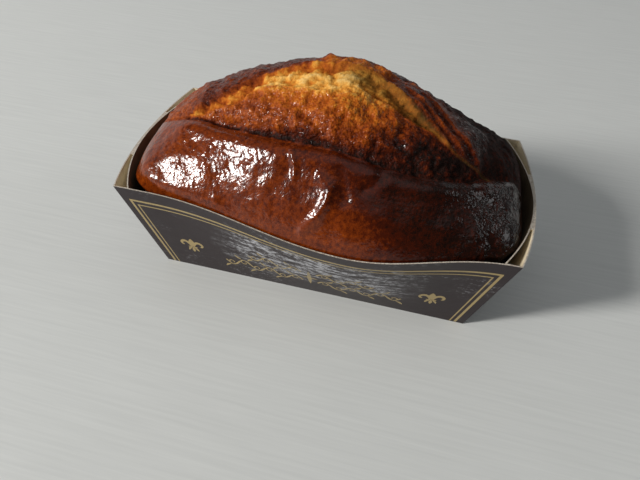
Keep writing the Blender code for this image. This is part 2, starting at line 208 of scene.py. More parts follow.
CORNER_LEAN = math.asin((RIM_WIDTH - BASE_WIDTH) / 2 / LONG_PANEL)
CORNER_HEIGHT = LONG_PANEL * math.cos(CORNER_LEAN)


def lean(rim_x, side):
    """Angle from upright of the front (-1) or rear (1) panel, on the line up it that ends at rim_x."""
    front = bell(rim_x - FRONT_PUSH_AT, FRONT_PUSH_LEFT, FRONT_PUSH_RIGHT)
    rear = bell(rim_x - REAR_PUSH_AT, REAR_PUSH_LEFT, REAR_PUSH_RIGHT)
    return CORNER_LEAN + LONG_PUSH * np.where(side < 0, front, rear)


def panel_face(x, z, side, inset):
    """Distance from the middle line of a long panel's face, inset into the card or past it."""
    length_here = BASE_LENGTH + (RIM_LENGTH - BASE_LENGTH) * z / CORNER_HEIGHT
    angle = lean(x * RIM_LENGTH / length_here, side)
    return BASE_WIDTH / 2 + z * np.tan(angle) - inset / np.cos(angle)


def end_face(rim_y, height, layer, inset):
    """Point (x, y, z) on an end wall at a fraction of its height: the outer web, or the inner panel."""
    middle = 1 - (rim_y / (RIM_WIDTH / 2)) ** 2
    reach = RIM_LENGTH / 2 + END_PUSH * middle
    if layer == "inner":
        reach -= POCKET - (POCKET - CARD) * middle
    out = reach - BASE_LENGTH / 2
    rise = math.sqrt(END_PANEL**2 - out**2)
    y = rim_y * (BASE_WIDTH + (RIM_WIDTH - BASE_WIDTH) * height) / RIM_WIDTH
    return BASE_LENGTH / 2 + out * height - inset, y, rise * height


def tray_ring(height, inset, layer, floor):
    """One loop round the tray, anticlockwise from above, at a fraction of the panels' height."""
    ring = []
    corner = RIM_LENGTH / 2 if layer == "outer" else RIM_LENGTH / 2 - POCKET - CARD
    long_stations = np.linspace(-1, 1, LONG_STATIONS)
    end_stations = np.linspace(-1, 1, END_STATIONS)[1:-1]
    for side, stations in ((-1, long_stations), (1, long_stations[::-1])):
        for station in stations:
            base_x = station * (BASE_LENGTH / 2 - inset)
            x = base_x + (station * corner - base_x) * height
            z = max(height * LONG_PANEL * math.cos(lean(station * corner, side)), floor)
            ring.append((x, side * float(panel_face(x, z, side, inset)), z))
        end = 1 if side < 0 else -1
        for station in end_stations if end > 0 else end_stations[::-1]:
            rim_y = station * (RIM_WIDTH / 2 - inset)
            x, y, z = end_face(rim_y, height, layer, inset)
            ring.append((end * x, y, max(z, floor)))
    return ring


def pocket_ring(height, end, side):
    """The pocket between the two layers of an end, at one of its corners."""
    stations = np.linspace(RIM_WIDTH / 2 - CARD, POCKET_END, POCKET_STATIONS)
    inner = [end_face(rim_y, height, "inner", 0.0) for rim_y in stations]
    outer = [end_face(rim_y, height, "outer", CARD) for rim_y in stations[::-1]]
    ring = [(end * x, side * y, z) for x, y, z in inner + outer]
    return ring if end * side < 0 else ring[::-1]


def object_from(name, form):
    """An object in the scene from a form, which is used up."""
    mesh = bpy.data.meshes.new(name)
    form.to_mesh(mesh)
    form.free()
    made = bpy.data.objects.new(name, mesh)
    bpy.context.scene.collection.objects.link(made)
    return made


def loft(name, rings, wall_finish, lower_finish, upper_finish):
    """A closed body through rings of equal length. Each wall and cap takes the number of its finish."""
    form = bmesh.new()
    loops = [[form.verts.new(Vector(point) * MM) for point in ring] for ring in rings]
    count = len(rings[0])
    for lower, upper in zip(loops, loops[1:]):
        for i in range(count):
            wall = form.faces.new((lower[i], lower[(i + 1) % count], upper[(i + 1) % count], upper[i]))
            wall.material_index = wall_finish
    for loop, number in ((loops[0], lower_finish), (loops[-1], upper_finish)):
        centre = form.verts.new(sum((vert.co for vert in loop), Vector()) / count)
        for i in range(count):
            form.faces.new((loop[i], loop[(i + 1) % count], centre)).material_index = number
    bmesh.ops.recalc_face_normals(form, faces=form.faces)
    return object_from(name, form)


PRINTED, GREASY_SHADED_CARD, CUT_EDGE, PALE_CARD = range(4)


def make_tray(finishes):
    """The folded tray as one solid: print outside, bare card inside, and a pale cut edge."""
    folded = [tray_ring(height, 0.0, "outer", 0.0) for height in LEVELS]
    tray = loft("card_tray", folded, PRINTED, PALE_CARD, CUT_EDGE)
    well = [tray_ring(height, CARD, "inner", CARD) for height in (*LEVELS[:-1], ABOVE_RIM)]
    hollows = [loft("well", well, *[GREASY_SHADED_CARD] * 3)]
    for end in (-1, 1):
        for side in (-1, 1):
            rings = [pocket_ring(height, end, side) for height in POCKET_LEVELS]
            hollows.append(loft(f"pocket_{end}_{side}", rings, *[PALE_CARD] * 3))
    for thing in (tray, *hollows):
        for finish in finishes:
            thing.data.materials.append(finish)
    for hollow in hollows:
        cut = tray.modifiers.new("hollow", "BOOLEAN")
        cut.operation = "DIFFERENCE"
        cut.object = hollow
    apply_modifiers(tray)
    for hollow in hollows:
        bpy.data.objects.remove(hollow, do_unlink=True)
    tray.data.shade_smooth()
    tray.data.set_sharp_from_angle(angle=math.radians(25))
    return tray


def apply_modifiers(thing):
    """Leaves the mesh as its modifiers shape it."""
    evaluated = thing.evaluated_get(bpy.context.evaluated_depsgraph_get())
    mesh = bpy.data.meshes.new_from_object(evaluated)
    thing.modifiers.clear()
    thing.data = mesh


# The form of the loaf, which is that of the frame's solid


def squeeze(u, v):
    """Rounds the corners of the square -1..1, and leaves its middle as it is."""
    small = np.minimum(np.abs(u), np.abs(v))
    large = np.maximum(np.maximum(np.abs(u), np.abs(v)), 1e-9)
    rounded = (1 + (small / large) ** CORNER_POWER) ** (-1 / CORNER_POWER)
    factor = 1 - (1 - rounded) * large**3
    return u * factor, v * factor


def narrowing(x):
    """Share of its full width that the cake has at x, from its rounded ends."""
    share = np.abs(x) / np.where(x < 0, SHOULDER_LEFT, SHOULDER_RIGHT)
    return np.clip(1 - share**CORNER_POWER, 0, 1) ** (1 / CORNER_POWER)


def outline(u, v, z):
    """Plan position of a point of the rounded rectangle on the cake's outline at height z."""
    along, across = squeeze(u, v)
    shoulder = np.where(along < 0, SHOULDER_LEFT, SHOULDER_RIGHT)
    x = along * (FOOT_LENGTH / 2 + (shoulder - FOOT_LENGTH / 2) * z / SHOULDER)
    side = np.where(across < 0, -1.0, 1.0)
    return x, across * panel_face(x, z, side, CARD + CLEARANCE)


def spread_rows(rows, density):
    """Moves rows that are even over -1..1 so that they lie closer where the density is high."""
    fine = np.linspace(-1, 1, 801)
    total = np.concatenate(([0], np.cumsum((density(fine[1:]) + density(fine[:-1])) / 2)))
    return np.interp((rows + 1) / 2 * total[-1], total, fine)


def near_rim(rows):
    return RIM_ROWS * hill(1 - np.abs(rows), RIM_ROWS_WIDTH)


def near_lip(rows):
    return LIP_ROWS * hill(rows - LIP_ROW, LIP_ROWS_WIDTH)


def follow_lip(x, y, v):
    """Slides the rows along Y until the lip's row lies on the lip, and the outline stays."""
    width = np.abs(panel_face(x, SHOULDER, -1.0, CARD + CLEARANCE))
    shift = smooth_line(LIP, x) - LIP_ROW * width
    before, behind = (v + 1) / (1 + LIP_ROW), (LAST_ROW_MOVED - v) / (LAST_ROW_MOVED - LIP_ROW)
    share = smooth_step(np.where(v < LIP_ROW, before, behind))
    return y + shift * share * between(x, -88, 88, 30, 30)


def arch(x):
    """Height of the crown line over the shoulder, as a share of the crown."""
    reach = np.where(x < CROWN_X, SHOULDER_LEFT + CROWN_X, SHOULDER_RIGHT - CROWN_X)
    right = smooth_step((x - CROWN_X) / ARCH_BLEND + 0.5)
    power = ARCH_POWER_LEFT + (ARCH_POWER_RIGHT - ARCH_POWER_LEFT) * right
    away = np.hypot((x - CROWN_X) / reach, ARCH_SOFTNESS)
    fullness = FULLNESS_LEFT + (FULLNESS_RIGHT - FULLNESS_LEFT) * right
    return np.clip(1 - away**power, 0, 1) ** fullness


def loaf_top(x, y):
    """Height of the plain loaf, without its burst and folds."""
    width = narrowing(x)
    crown_y = CROWN_Y * width
    front = panel_face(x, SHOULDER, -1.0, CARD + CLEARANCE) * width + crown_y
    rear = panel_face(x, SHOULDER, 1.0, CARD + CLEARANCE) * width - crown_y
    away = np.abs(y - crown_y) / np.maximum(np.where(y < crown_y, front, rear), 1e-6)
    front_power = FRONT_POWER + FULL_GAIN * smooth_step((FULL_FROM - x) / FULL_REACH)
    power = np.where(y < crown_y, front_power, REAR_POWER)
    section = (1 - np.clip(away, 0, 1) ** power) ** SECTION_FULLNESS
    return SHOULDER + CROWN * arch(x) * section


def lip_and_groove(x, y):
    """The smooth crust ends in a rolled lip, and the dome comes up behind a groove."""
    past = (y - smooth_line(LIP, x)) * ACROSS_LIP
    deep = smooth_step((x - GROOVE_FROM) / 22) * (1 - GROOVE_SHALLOW * smooth_step((x - GROOVE_FADE) / 34))
    roll = ROLL * hill(past - ROLL_AT, ROLL_WIDTH)
    groove = GROOVE * deep * hill(past - GROOVE_AT, GROOVE_WIDTH)
    dome = DOME * smooth_step((past - DOME_AT) / DOME_REACH)
    return between(x, *LIP_REACH) * (roll - groove + dome)


def tear_share(x, y):
    """1 on the torn crumb between the dome and the far crust."""
    past_near = smooth_step((y - smooth_line(TEAR_NEAR, x)) / TEAR_NEAR_EDGE)
    before_far = smooth_step((smooth_line(TEAR_FAR, x) - y) / TEAR_FAR_EDGE)
    return between(x, *TEAR_REACH) * past_near * before_far


def ledges(x, y):
    """Each slid layer has a steep near edge and falls away behind it."""
    rise = np.zeros(np.shape(x))
    for line in LEDGES:
        fade = between(x, line[0][0] - 2, line[-1][0] + 1, 8, 8)
        past = (y - smooth_line(line, x)) * math.sqrt(0.5)
        rise += fade * np.where(past < 0, hill(past, LEDGE_FACE), np.exp(-past / LEDGE_BACK))
    return rise


def folds(x, y):
    rise = np.zeros(np.shape(x))
    for path, height, width in FOLDS:
        rise += height * hill(distance_to_path(path, x, y), width)
    return rise


def lumps(x, y):
    rise = np.zeros(np.shape(x))
    for lump_x, lump_y, radius, height in LUMPS:
        rise += height * hill(np.hypot(x - lump_x, y - lump_y), radius)
    return rise


def burst_share(x, y):
    """1 on the open dome, crumb and ledges, 0 on the smooth crust."""
    (front, front_fade), (rear, rear_fade) = BURST_FRONT, BURST_REAR
    return smooth_step((y - smooth_line(LIP, x) - front) / front_fade) * smooth_step((rear - y) / rear_fade)


def solid_relief(x, y):
    """The relief that the frame's solid has."""
    flat = np.stack((x, y, np.zeros(len(x))), -1)
    coarse = swells(flat, NOISE_SIZE) * (CRUST_NOISE + (CRUMB_NOISE - CRUST_NOISE) * burst_share(x, y))
    burst = lip_and_groove(x, y) - TEAR_DEPTH * tear_share(x, y) + LEDGE_HEIGHT * ledges(x, y)
    return burst + folds(x, y) + lumps(x, y) + coarse


# The parts of the crust and crumb


def zones(x, y):
    """Where each kind of surface lies: a dict of shares, 0 to 1, and the way across the tear."""
    lip, near, far = (smooth_line(line, x) for line in (LIP, TEAR_NEAR, TEAR_FAR))
    behind_lip = rising(y - lip, 0.2, 1.8)
    past_near, past_far = rising(y - near, -0.6, 1.8), rising(y - far, -1.0, 2.0)
    burst = behind_lip * between(x, -72, 94, 8, 12)
    dome, tear = burst * (1 - past_near), burst * past_near * (1 - past_far)
    slid = past_far * between(x, 22, 76, 10, 8) * rising(y, 16, 11)
    toast = past_far * between(x, -14, 56, 12, 16) * rising(y, 22, 16) * (1 - slid)
    slid, toast = burst * past_near * slid, burst * past_near * toast
    groove_reach = 1.6 + 3.0 * rising(x, -50, 0)
    return {
        "front": 1 - behind_lip,
        "dome": dome,
        "tear": tear,
        "toast": toast,
        "slid": slid,
        "far": np.clip(behind_lip - dome - tear - toast - slid, 0, 1),
        "across": np.clip((y - near) / np.maximum(far - near, 1.0), 0, 1),
        "groove": behind_lip * hill(np.maximum(y - lip - 1.2, 0), groove_reach),
    }


# The patch of the front crust that shrank into fine wrinkles, and the way that they run.
CRUMPLE_X, CRUMPLE_Y, CRUMPLE_LONG, CRUMPLE_WIDE = -48.0, -34.0, 24.0, 9.0
WRINKLE_SLANT = np.array(((0.75, 0.55, 0), (-0.2, 0.3, 0), (0.35, 0.2, 1)))
# Torn crumb pulls out into strands along the loaf.
STRAND_STRETCH = np.array((0.3, 1, 1))


def crumpled(x, y):
    """1 in the middle of the wrinkled patch."""
    return hill(np.hypot((x - CRUMPLE_X) / CRUMPLE_LONG, (y - CRUMPLE_Y) / CRUMPLE_WIDE), 1.0)


def fine_relief(place, share):
    """Bubbles, crumb, wrinkles and waves, in millimetres, and the tone that they give the crust: its own
    mottling, and painted light and shade that follows the relief.
    """
    x, y = place[:, 0], place[:, 1]
    front, tear, far = share["front"], share["tear"], share["far"]
    rough = share["dome"] + share["toast"] + share["slid"]
    soft, rugged = swells(place, 14.0, 2, 6.0), swells(place, 5.0, 2, 11.0)
    crumb, peel = swells(place, 4.2, 3, 9.0), swells(place, 1.6, 2, 4.0)
    strands = swells(place * STRAND_STRETCH, 2.6, 2, 13.0)
    wrinkle = 1 - 2.2 * np.abs(swells(place @ WRINKLE_SLANT, 2.8, 3, 2.0))
    coarse, fine, grains = (
        pebbles(place, size, seed) - 0.5 for size, seed in ((3.0, 0.0), (1.7, 3.0), (1.1, 5.0))
    )
    rise = (front + far) * (0.4 * soft + 0.03 * peel) + rough * 0.9 * soft
    rise += front * (0.2 * crumpled(x, y) * wrinkle + rising(x, 20, -20) * (0.18 * rugged + 0.04 * strands))
    rise += (rough - 0.6 * share["slid"]) * (1.3 * rugged + 0.5 * coarse + 0.25 * fine + 0.1 * peel)
    rise += tear * (1.2 * crumb + 0.8 * strands + 0.6 * fine + 0.45 * grains)
    rise += far * (0.9 * np.clip(rugged, -0.2, 1) + 0.3 * fine)
    # Painted light and shade: the tone follows the relief, lighter where it rises and darker in seams and
    # hollows.
    tone = (front + far) * 0.6 * peel + tear * (1.2 * crumb + 1.2 * strands + 0.8 * fine + 0.6 * grains)
    tone += (rough - 0.5 * share["slid"]) * (1.6 * coarse + 0.7 * fine + 0.8 * rugged)
    return rise, tone


def browning_and_shade_of(x, y, share, tone):
    """How far each spot is baked, with painted shade on top: 0 for pale crumb, 1 for nearly black crust."""
    behind_lip, before_tear = y - smooth_line(LIP, x), smooth_line(TEAR_NEAR, x) - y
    # Painted shade: each part grows darker towards the right, the side away from the window.
    front = 0.72 + 0.02 * rising(x, -60, -30) + 0.24 * rising(x, -30, 70)
    # Paler in a patch low in the middle of the front.
    front -= 0.13 * hill(np.hypot((x - 22) / 30, (y + 56) / 10), 1.0)
    # The dome is darker in a band behind the lip: darker baking and painted shade from the lip and groove.
    dome = 0.41 + 0.38 * rising(x, 12, 48) + 0.05 * hill(x + 46, 18) + 0.18 * hill(behind_lip - 9, 6)
    dome -= 0.14 * hill(before_tear, 5) * hill(x - 10, 20)
    dome -= 0.06 * hill(before_tear, 2) * rising(x, 60, 30)
    tear = 0.13 + 0.30 * rising(x, -26, -44) + 0.36 * rising(x, 2, 42)
    tear += 0.26 * rising(share["across"], 0.45, 0.95) * rising(x, 34, 4)
    toast = 0.40 + 0.20 * rising(x, 10, 35) + 0.26 * rising(y, 14, 20)
    slid = 0.86 + 0.08 * rising(x, 54, 70) - 0.18 * np.clip(ledges(x, y), 0, 1)
    far = 0.78 + 0.20 * rising(x, 20, 60) - 0.14 * rising(x, -60, -72)
    zone = {"front": front, "dome": dome, "tear": tear, "toast": toast, "slid": slid, "far": far}
    level = sum(share[name] * browning_and_shade for name, browning_and_shade in zone.items())
    # Painted shade and darker baking in the groove behind the lip.
    baked_and_shaded_groove = share["groove"] * between(x, -74, 94, 14, 16)
    # Painted light and shade from the relief: raised bits lighter, seams darker.
    return level + (0.95 - level) * baked_and_shaded_groove - 0.15 * tone


def inside_edge(u, v, end_band, side_band):
    """0 on the edge of the top, and 1 from each band's width inwards."""
    return np.clip((1 - np.abs(u)) / end_band, 0, 1), np.clip((1 - np.abs(v)) / side_band, 0, 1)


def turned_down(u, v, x):
    """How far the top has turned down next to its edge, which ends just under the long panels' rim."""
    from_end, from_side = inside_edge(u, v, END_BAND, SIDE_BAND)
    side_drop = SHOULDER + BELOW_RIM - LONG_PANEL * np.cos(lean(x, np.where(v < 0, -1.0, 1.0)))
    near_end = rising(np.abs(u), 0.8, 1.0)
    share = 1 - (1 - (1 - from_end) ** 2) * (1 - (1 - from_side) ** 2)
    return share * (side_drop + (END_DROP - side_drop) * near_end)


def slopes(x, y, step=0.5):
    """The plain loaf's slopes along X and Y."""
    along = loaf_top(x + step, y) - loaf_top(x - step, y)
    across = loaf_top(x, y + step) - loaf_top(x, y - step)
    return along / (2 * step), across / (2 * step)


def top_points(u, v):
    """The finished top over the square -1..1, and the values that its finish reads."""
    x, y = outline(u, v, SHOULDER)
    drop = turned_down(u, v, x)
    y = follow_lip(x, y, v)
    turned_x, turned_y = outline(u, v, SHOULDER - drop)
    turned_y = follow_lip(turned_x, turned_y, v)
    slope_x, slope_y = slopes(x, y)
    steep = np.sqrt(1 + slope_x**2 + slope_y**2)
    height = loaf_top(x, y)
    share = zones(x, y)
    fine, tone = fine_relief(np.stack((x, y, height), -1), share)
    inside = np.minimum(*inside_edge(u, v, RELIEF_END, RELIEF_SIDE))
    rise = (solid_relief(x, y) + fine) * smooth_step(inside)
    out = rise / steep
    points = np.stack((turned_x - slope_x * out, turned_y - slope_y * out, height - drop + out), -1)
    burnt = (share["far"] + share["dome"]) * rising(x, 30, 70)
    rough = share["dome"] + share["toast"] + share["slid"] + 0.75 * share["far"]
    values = {
        # The baking level, with painted shade towards the right, in the groove and in the seams of the
        # relief.
        "browning_and_shade": browning_and_shade_of(x, y, share, tone),
        "matt": np.clip(share["tear"] + 0.5 * share["toast"] + 0.6 * share["groove"] + burnt, 0, 1),
        "blister": share["front"] * rising(x, 50, 78),
        "rough": np.clip(rough, 0, 1),
        # Painted shade on the torn crumb at the right, away from its near edge.
        "crumb_shade": share["tear"] * rising(x, -8, 18) * rising(share["across"], 0.1, 0.45),
    }
    return points, values


def make_cake(finish):
    """The top is a fine grid, and its edge is drawn down level by level to the flat foot."""
    form = bmesh.new()
    bmesh.ops.create_grid(form, x_segments=GRID_LONG, y_segments=GRID_ACROSS, size=1)
    square = np.array([vert.co[:2] for vert in form.verts])
    u = spread_rows(square[:, 0], lambda rows: 1 + near_rim(rows))
    v = spread_rows(square[:, 1], lambda rows: 1 + near_rim(rows) + near_lip(rows))
    points, values = top_points(u, v)
    values["u"], values["v"] = u, v
    for vert, point in zip(form.verts, points * MM):
        vert.co = point
    for name, numbers in values.items():
        layer = form.verts.layers.float.new(name)
        for vert, number in zip(form.verts, numbers.tolist()):
            vert[layer] = number
    layer_u, layer_v = form.verts.layers.float["u"], form.verts.layers.float["v"]
    edges = [edge for edge in form.edges if edge.is_boundary]
    foot = CARD + CLEARANCE
    for z in (*WALL_LEVELS, foot):
        inset = FOOT_ROUND if z == foot else 0.0
        made = bmesh.ops.extrude_edge_only(form, edges=edges)["geom"]
        edges = [item for item in made if isinstance(item, bmesh.types.BMEdge) and item.is_boundary]
        for vert in {vert for edge in edges for vert in edge.verts}:
            x, y = outline(np.float64(vert[layer_u]), np.float64(vert[layer_v]), z)
            vert.co = Vector((x * (1 - 2 * inset / FOOT_LENGTH), y * (1 - 2 * inset / BASE_WIDTH), z)) * MM
    middle = form.verts.new((0, 0, foot * MM))
    for edge in edges:
        form.faces.new((*edge.verts, middle))
    bmesh.ops.recalc_face_normals(form, faces=form.faces)
    cake = object_from("loaf_cake", form)
    cake.data.shade_smooth()
    cake.data.materials.append(finish)
    return cake


# Gold print on the long panels


# The outer line lies this far in from the rim, the sides and the base fold, and the inner one further.
FRAME_TOP, FRAME_SIDE, FRAME_FOOT = 8.4, 4.5, 0.4
FRAME_GAP_TOP, FRAME_GAP_SIDE = 3.0, 2.6
OUTER_LINE, INNER_LINE = 1.25, 0.7
# The foil's outer face and its underside, out from the card.
FOIL, FOIL_UNDER = 0.03, 0.009
LILY_X, LILY_UP, LILY_SIZE = 63.4, 20.5, 12.6
# A curled leaf of a lily of size 1, and its width at each point.
LILY_CURL = (
    (0.06, -0.06), (0.12, 0.12), (0.22, 0.26), (0.36, 0.27), (0.46, 0.16), (0.44, 0.03), (0.36, 0.0),
)
LILY_WIDTHS = (0.05, 0.10, 0.14, 0.15, 0.12, 0.09, 0.05)
# The scroll in the middle of the panel: for each row, its height over the middle, its reach to each
# side from where it starts, the swing of its waves and their number.
SCROLL_X, SCROLL_UP, SCROLL_START = 2.0, 21.0, 4.0
SCROLL_ROWS = ((5.6, 33.0, 3.4, 2), (-5.6, 47.0, 3.6, 3))


def panel_point(along, up, side, out):
    """A point over a long panel: along it and up it in millimetres, and out from its face."""
    rim_x = along * RIM_LENGTH / (BASE_LENGTH + (RIM_LENGTH - BASE_LENGTH) * up / LONG_PANEL)
    angle = lean(rim_x, side)
    y = BASE_WIDTH / 2 + up * math.sin(angle) + out * math.cos(angle)
    return Vector((along, side * y, up * math.cos(angle) - out * math.sin(angle))) * MM


def stroke(form, points, widths, side):
    """A flat ribbon of foil along points on the panel, as a closed strip with a width at each point."""
    rows = []
    for i, (x, up) in enumerate(points):
        before, after = points[max(i - 1, 0)], points[min(i + 1, len(points) - 1)]
        dx, dy = after[0] - before[0], after[1] - before[1]
        half = widths[i] / 2 / math.hypot(dx, dy)
        left, right = (x - dy * half, up + dx * half), (x + dy * half, up - dx * half)
        section = ((left, FOIL), (right, FOIL), (right, FOIL_UNDER), (left, FOIL_UNDER))
        rows.append([form.verts.new(panel_point(*spot, side, out)) for spot, out in section])
    for row, following in zip(rows, rows[1:]):
        for i in range(4):
            form.faces.new((row[i], row[(i + 1) % 4], following[(i + 1) % 4], following[i]))
    form.faces.new(rows[0])
    form.faces.new(rows[-1][::-1])


def half_panel(up, edge):
    """Half the length of a long panel at that height, less the edge."""
    return (BASE_LENGTH + (RIM_LENGTH - BASE_LENGTH) * up / LONG_PANEL) / 2 - edge


def frame_line(form, top, edge, width, side):
    """One line of the frame: a strip along the rim, and one down each side to the base fold."""
    high = LONG_PANEL - top
    half = half_panel(high, edge) + width / 2
    stroke(form, [(x, high) for x in np.linspace(-half, half, 121)], [width] * 121, side)
    for end in (-1, 1):
        ups = np.linspace(FRAME_FOOT, high - width / 2, 25)
        stroke(form, [(end * half_panel(up, edge), up) for up in ups], [width] * 25, side)


def petal(form, base, tip, bend, width, side, count=15):
    """A leaf-shaped stroke from base to tip that bows sideways."""
    along, rise = tip[0] - base[0], tip[1] - base[1]
    length = math.hypot(along, rise)
    points, widths = [], []
    for t in np.linspace(0, 1, count):
        bow = bend * math.sin(math.pi * t) / length
        points.append((base[0] + along * t - rise * bow, base[1] + rise * t + along * bow))
        widths.append(max(width * math.sin(math.pi * t) ** 0.8, 0.12))
    stroke(form, points, widths, side)


def lily(form, x, up, size, side, count=17):
    """A small fleur-de-lis: a middle leaf, two curled ones, a band and a short foot."""
    petal(form, (x, up - 0.06 * size), (x, up + 0.5 * size), 0.0, 0.26 * size, side)
    places = np.linspace(0, len(LILY_WIDTHS) - 1, count)
    widths = np.interp(places, range(len(LILY_WIDTHS)), LILY_WIDTHS) * size
    for hand in (-1, 1):
        points = [(x + hand * px * size, up + py * size) for px, py in resample(LILY_CURL, count)]
        stroke(form, points, widths, side)
        base, tip = (x + hand * 0.05 * size, up - 0.14 * size), (x + hand * 0.22 * size, up - 0.38 * size)
        petal(form, base, tip, hand * 0.04 * size, 0.10 * size, side)
    petal(form, (x, up - 0.14 * size), (x, up - 0.46 * size), 0.0, 0.14 * size, side)
    band = [(x + end * 0.2 * size, up - 0.1 * size) for end in (-1, 1)]
    stroke(form, band, [0.07 * size] * 2, side)


def resample(points, count):
    """A smooth curve through the points, read at evenly spread places."""
    t = np.linspace(0, len(points) - 1, count)
    numbers = np.array(points, float)
    return list(zip(catmull(numbers[:, 0], t), catmull(numbers[:, 1], t)))


def catmull(values, t):
    """The values between whole places of t, by a smooth cubic."""
    i = np.clip(t.astype(int), 0, len(values) - 2)
    f = t - i
    before = values[np.clip(i - 1, 0, len(values) - 1)]
    after = values[np.clip(i + 2, 0, len(values) - 1)]
    start, end = values[i], values[i + 1]
    slope_in, slope_out = (end - before) / 2, (after - start) / 2
    return (
        (2 * f**3 - 3 * f**2 + 1) * start + (f**3 - 2 * f**2 + f) * slope_in
        + (3 * f**2 - 2 * f**3) * end + (f**3 - f**2) * slope_out
    )


def spiral(form, x, up, radius, turns, start, hand, thick, side, count=34):
    """A curl that winds in from (x, up) and grows thin."""
    centre = (x - math.cos(start) * radius, up - math.sin(start) * radius)
    points, widths = [], []
    for t in np.linspace(0, 1, count):
        angle = start + hand * t * turns * 2 * math.pi
        r = radius * (1 - 0.82 * t)
        points.append((centre[0] + math.cos(angle) * r, centre[1] + math.sin(angle) * r))
        widths.append(thick * (1 - 0.55 * t))
    stroke(form, points, widths, side)


def scroll_row(form, hand, rise, reach, swing, waves, side):
    """One half of a row of the scroll: a wave from the middle outwards, with curls and small leaves."""
    shares = np.linspace(0, 1, 61)
    xs = SCROLL_X + hand * (SCROLL_START + (reach - SCROLL_START) * shares)
    ups = SCROLL_UP + rise + swing * np.sin(shares * waves * 2 * math.pi)
    widths = 0.75 + 0.4 * np.sin(shares * waves * 4 * math.pi + 0.7)
    stroke(form, list(zip(xs, ups)), widths, side)
    for i in range(waves * 2):
        away = 1 if i % 2 else -1
        x = SCROLL_X + hand * (SCROLL_START + (reach - SCROLL_START) * (i + 0.5) / (waves * 2))
        up = SCROLL_UP + rise - away * swing
        spiral(form, x, up, 2.5, 0.95, -away * math.pi / 2, hand * away, 0.8, side)
        leaf, tip = (x + hand * 1.2, up - away * 0.4), (x + hand * 4.8, up - away * 3.8)
        petal(form, leaf, tip, 0.5 * away * hand, 1.3, side)


def scroll_ornament(form, side):
    """A plain symmetric scroll in the middle of the panel, with a leaf up and one across its middle."""
    for hand in (-1, 1):
        for row in SCROLL_ROWS:
            scroll_row(form, hand, *row, side)
    petal(form, (SCROLL_X, SCROLL_UP - 9.0), (SCROLL_X, SCROLL_UP + 9.0), 0.0, 2.2, side)
    petal(form, (SCROLL_X - 4.5, SCROLL_UP), (SCROLL_X + 4.5, SCROLL_UP), 0.0, 1.4, side)


def make_print(finish):
    """The frame lines and the ornament on the front and the rear panel."""
    made = []
    for name, side in (("front", -1), ("rear", 1)):
        lines, ornament = bmesh.new(), bmesh.new()
        frame_line(lines, FRAME_TOP, FRAME_SIDE, OUTER_LINE, side)
        frame_line(lines, FRAME_TOP + FRAME_GAP_TOP, FRAME_SIDE + FRAME_GAP_SIDE, INNER_LINE, side)
        for x in (-LILY_X, LILY_X):
            lily(ornament, x, LILY_UP, LILY_SIZE, side)
        scroll_ornament(ornament, side)
        for form, part in ((lines, "gold_frame"), (ornament, "gold_ornament")):
            bmesh.ops.recalc_face_normals(form, faces=form.faces)
            thing = object_from(f"{part}_{name}", form)
            thing.data.materials.append(finish)
            made.append(thing)
    return made


# Finishes


class Value:
    """An output of a node, so that shader maths reads as an expression."""

    def __init__(self, finish, socket):
        self.finish, self.socket = finish, socket

    def maths(self, operation, first, second):
        return self.finish.node("Math", {"operation": operation}, {0: first, 1: second})

    def __add__(self, other):
        return self.maths("ADD", self, other)

    def __sub__(self, other):
        return self.maths("SUBTRACT", self, other)

    def __rsub__(self, other):
        return self.maths("SUBTRACT", other, self)

    def __mul__(self, other):
        return self.maths("MULTIPLY", self, other)

    __radd__, __rmul__ = __add__, __mul__

    def clamped(self):
        return self.finish.node("Clamp", {}, {0: self})

    def above(self, low, high):
        """0 at low, 1 at high, with soft ends. It falls where high is the smaller."""
        return self.finish.node(
            "MapRange", {"interpolation_type": "SMOOTHSTEP"}, {0: self, 1: low, 2: high, 3: 0.0, 4: 1.0}
        )

    def within(self, start, full, thins, end):
        """0 outside start and end, 1 from full to where it thins."""
        return self.above(start, full) * self.above(end, thins)


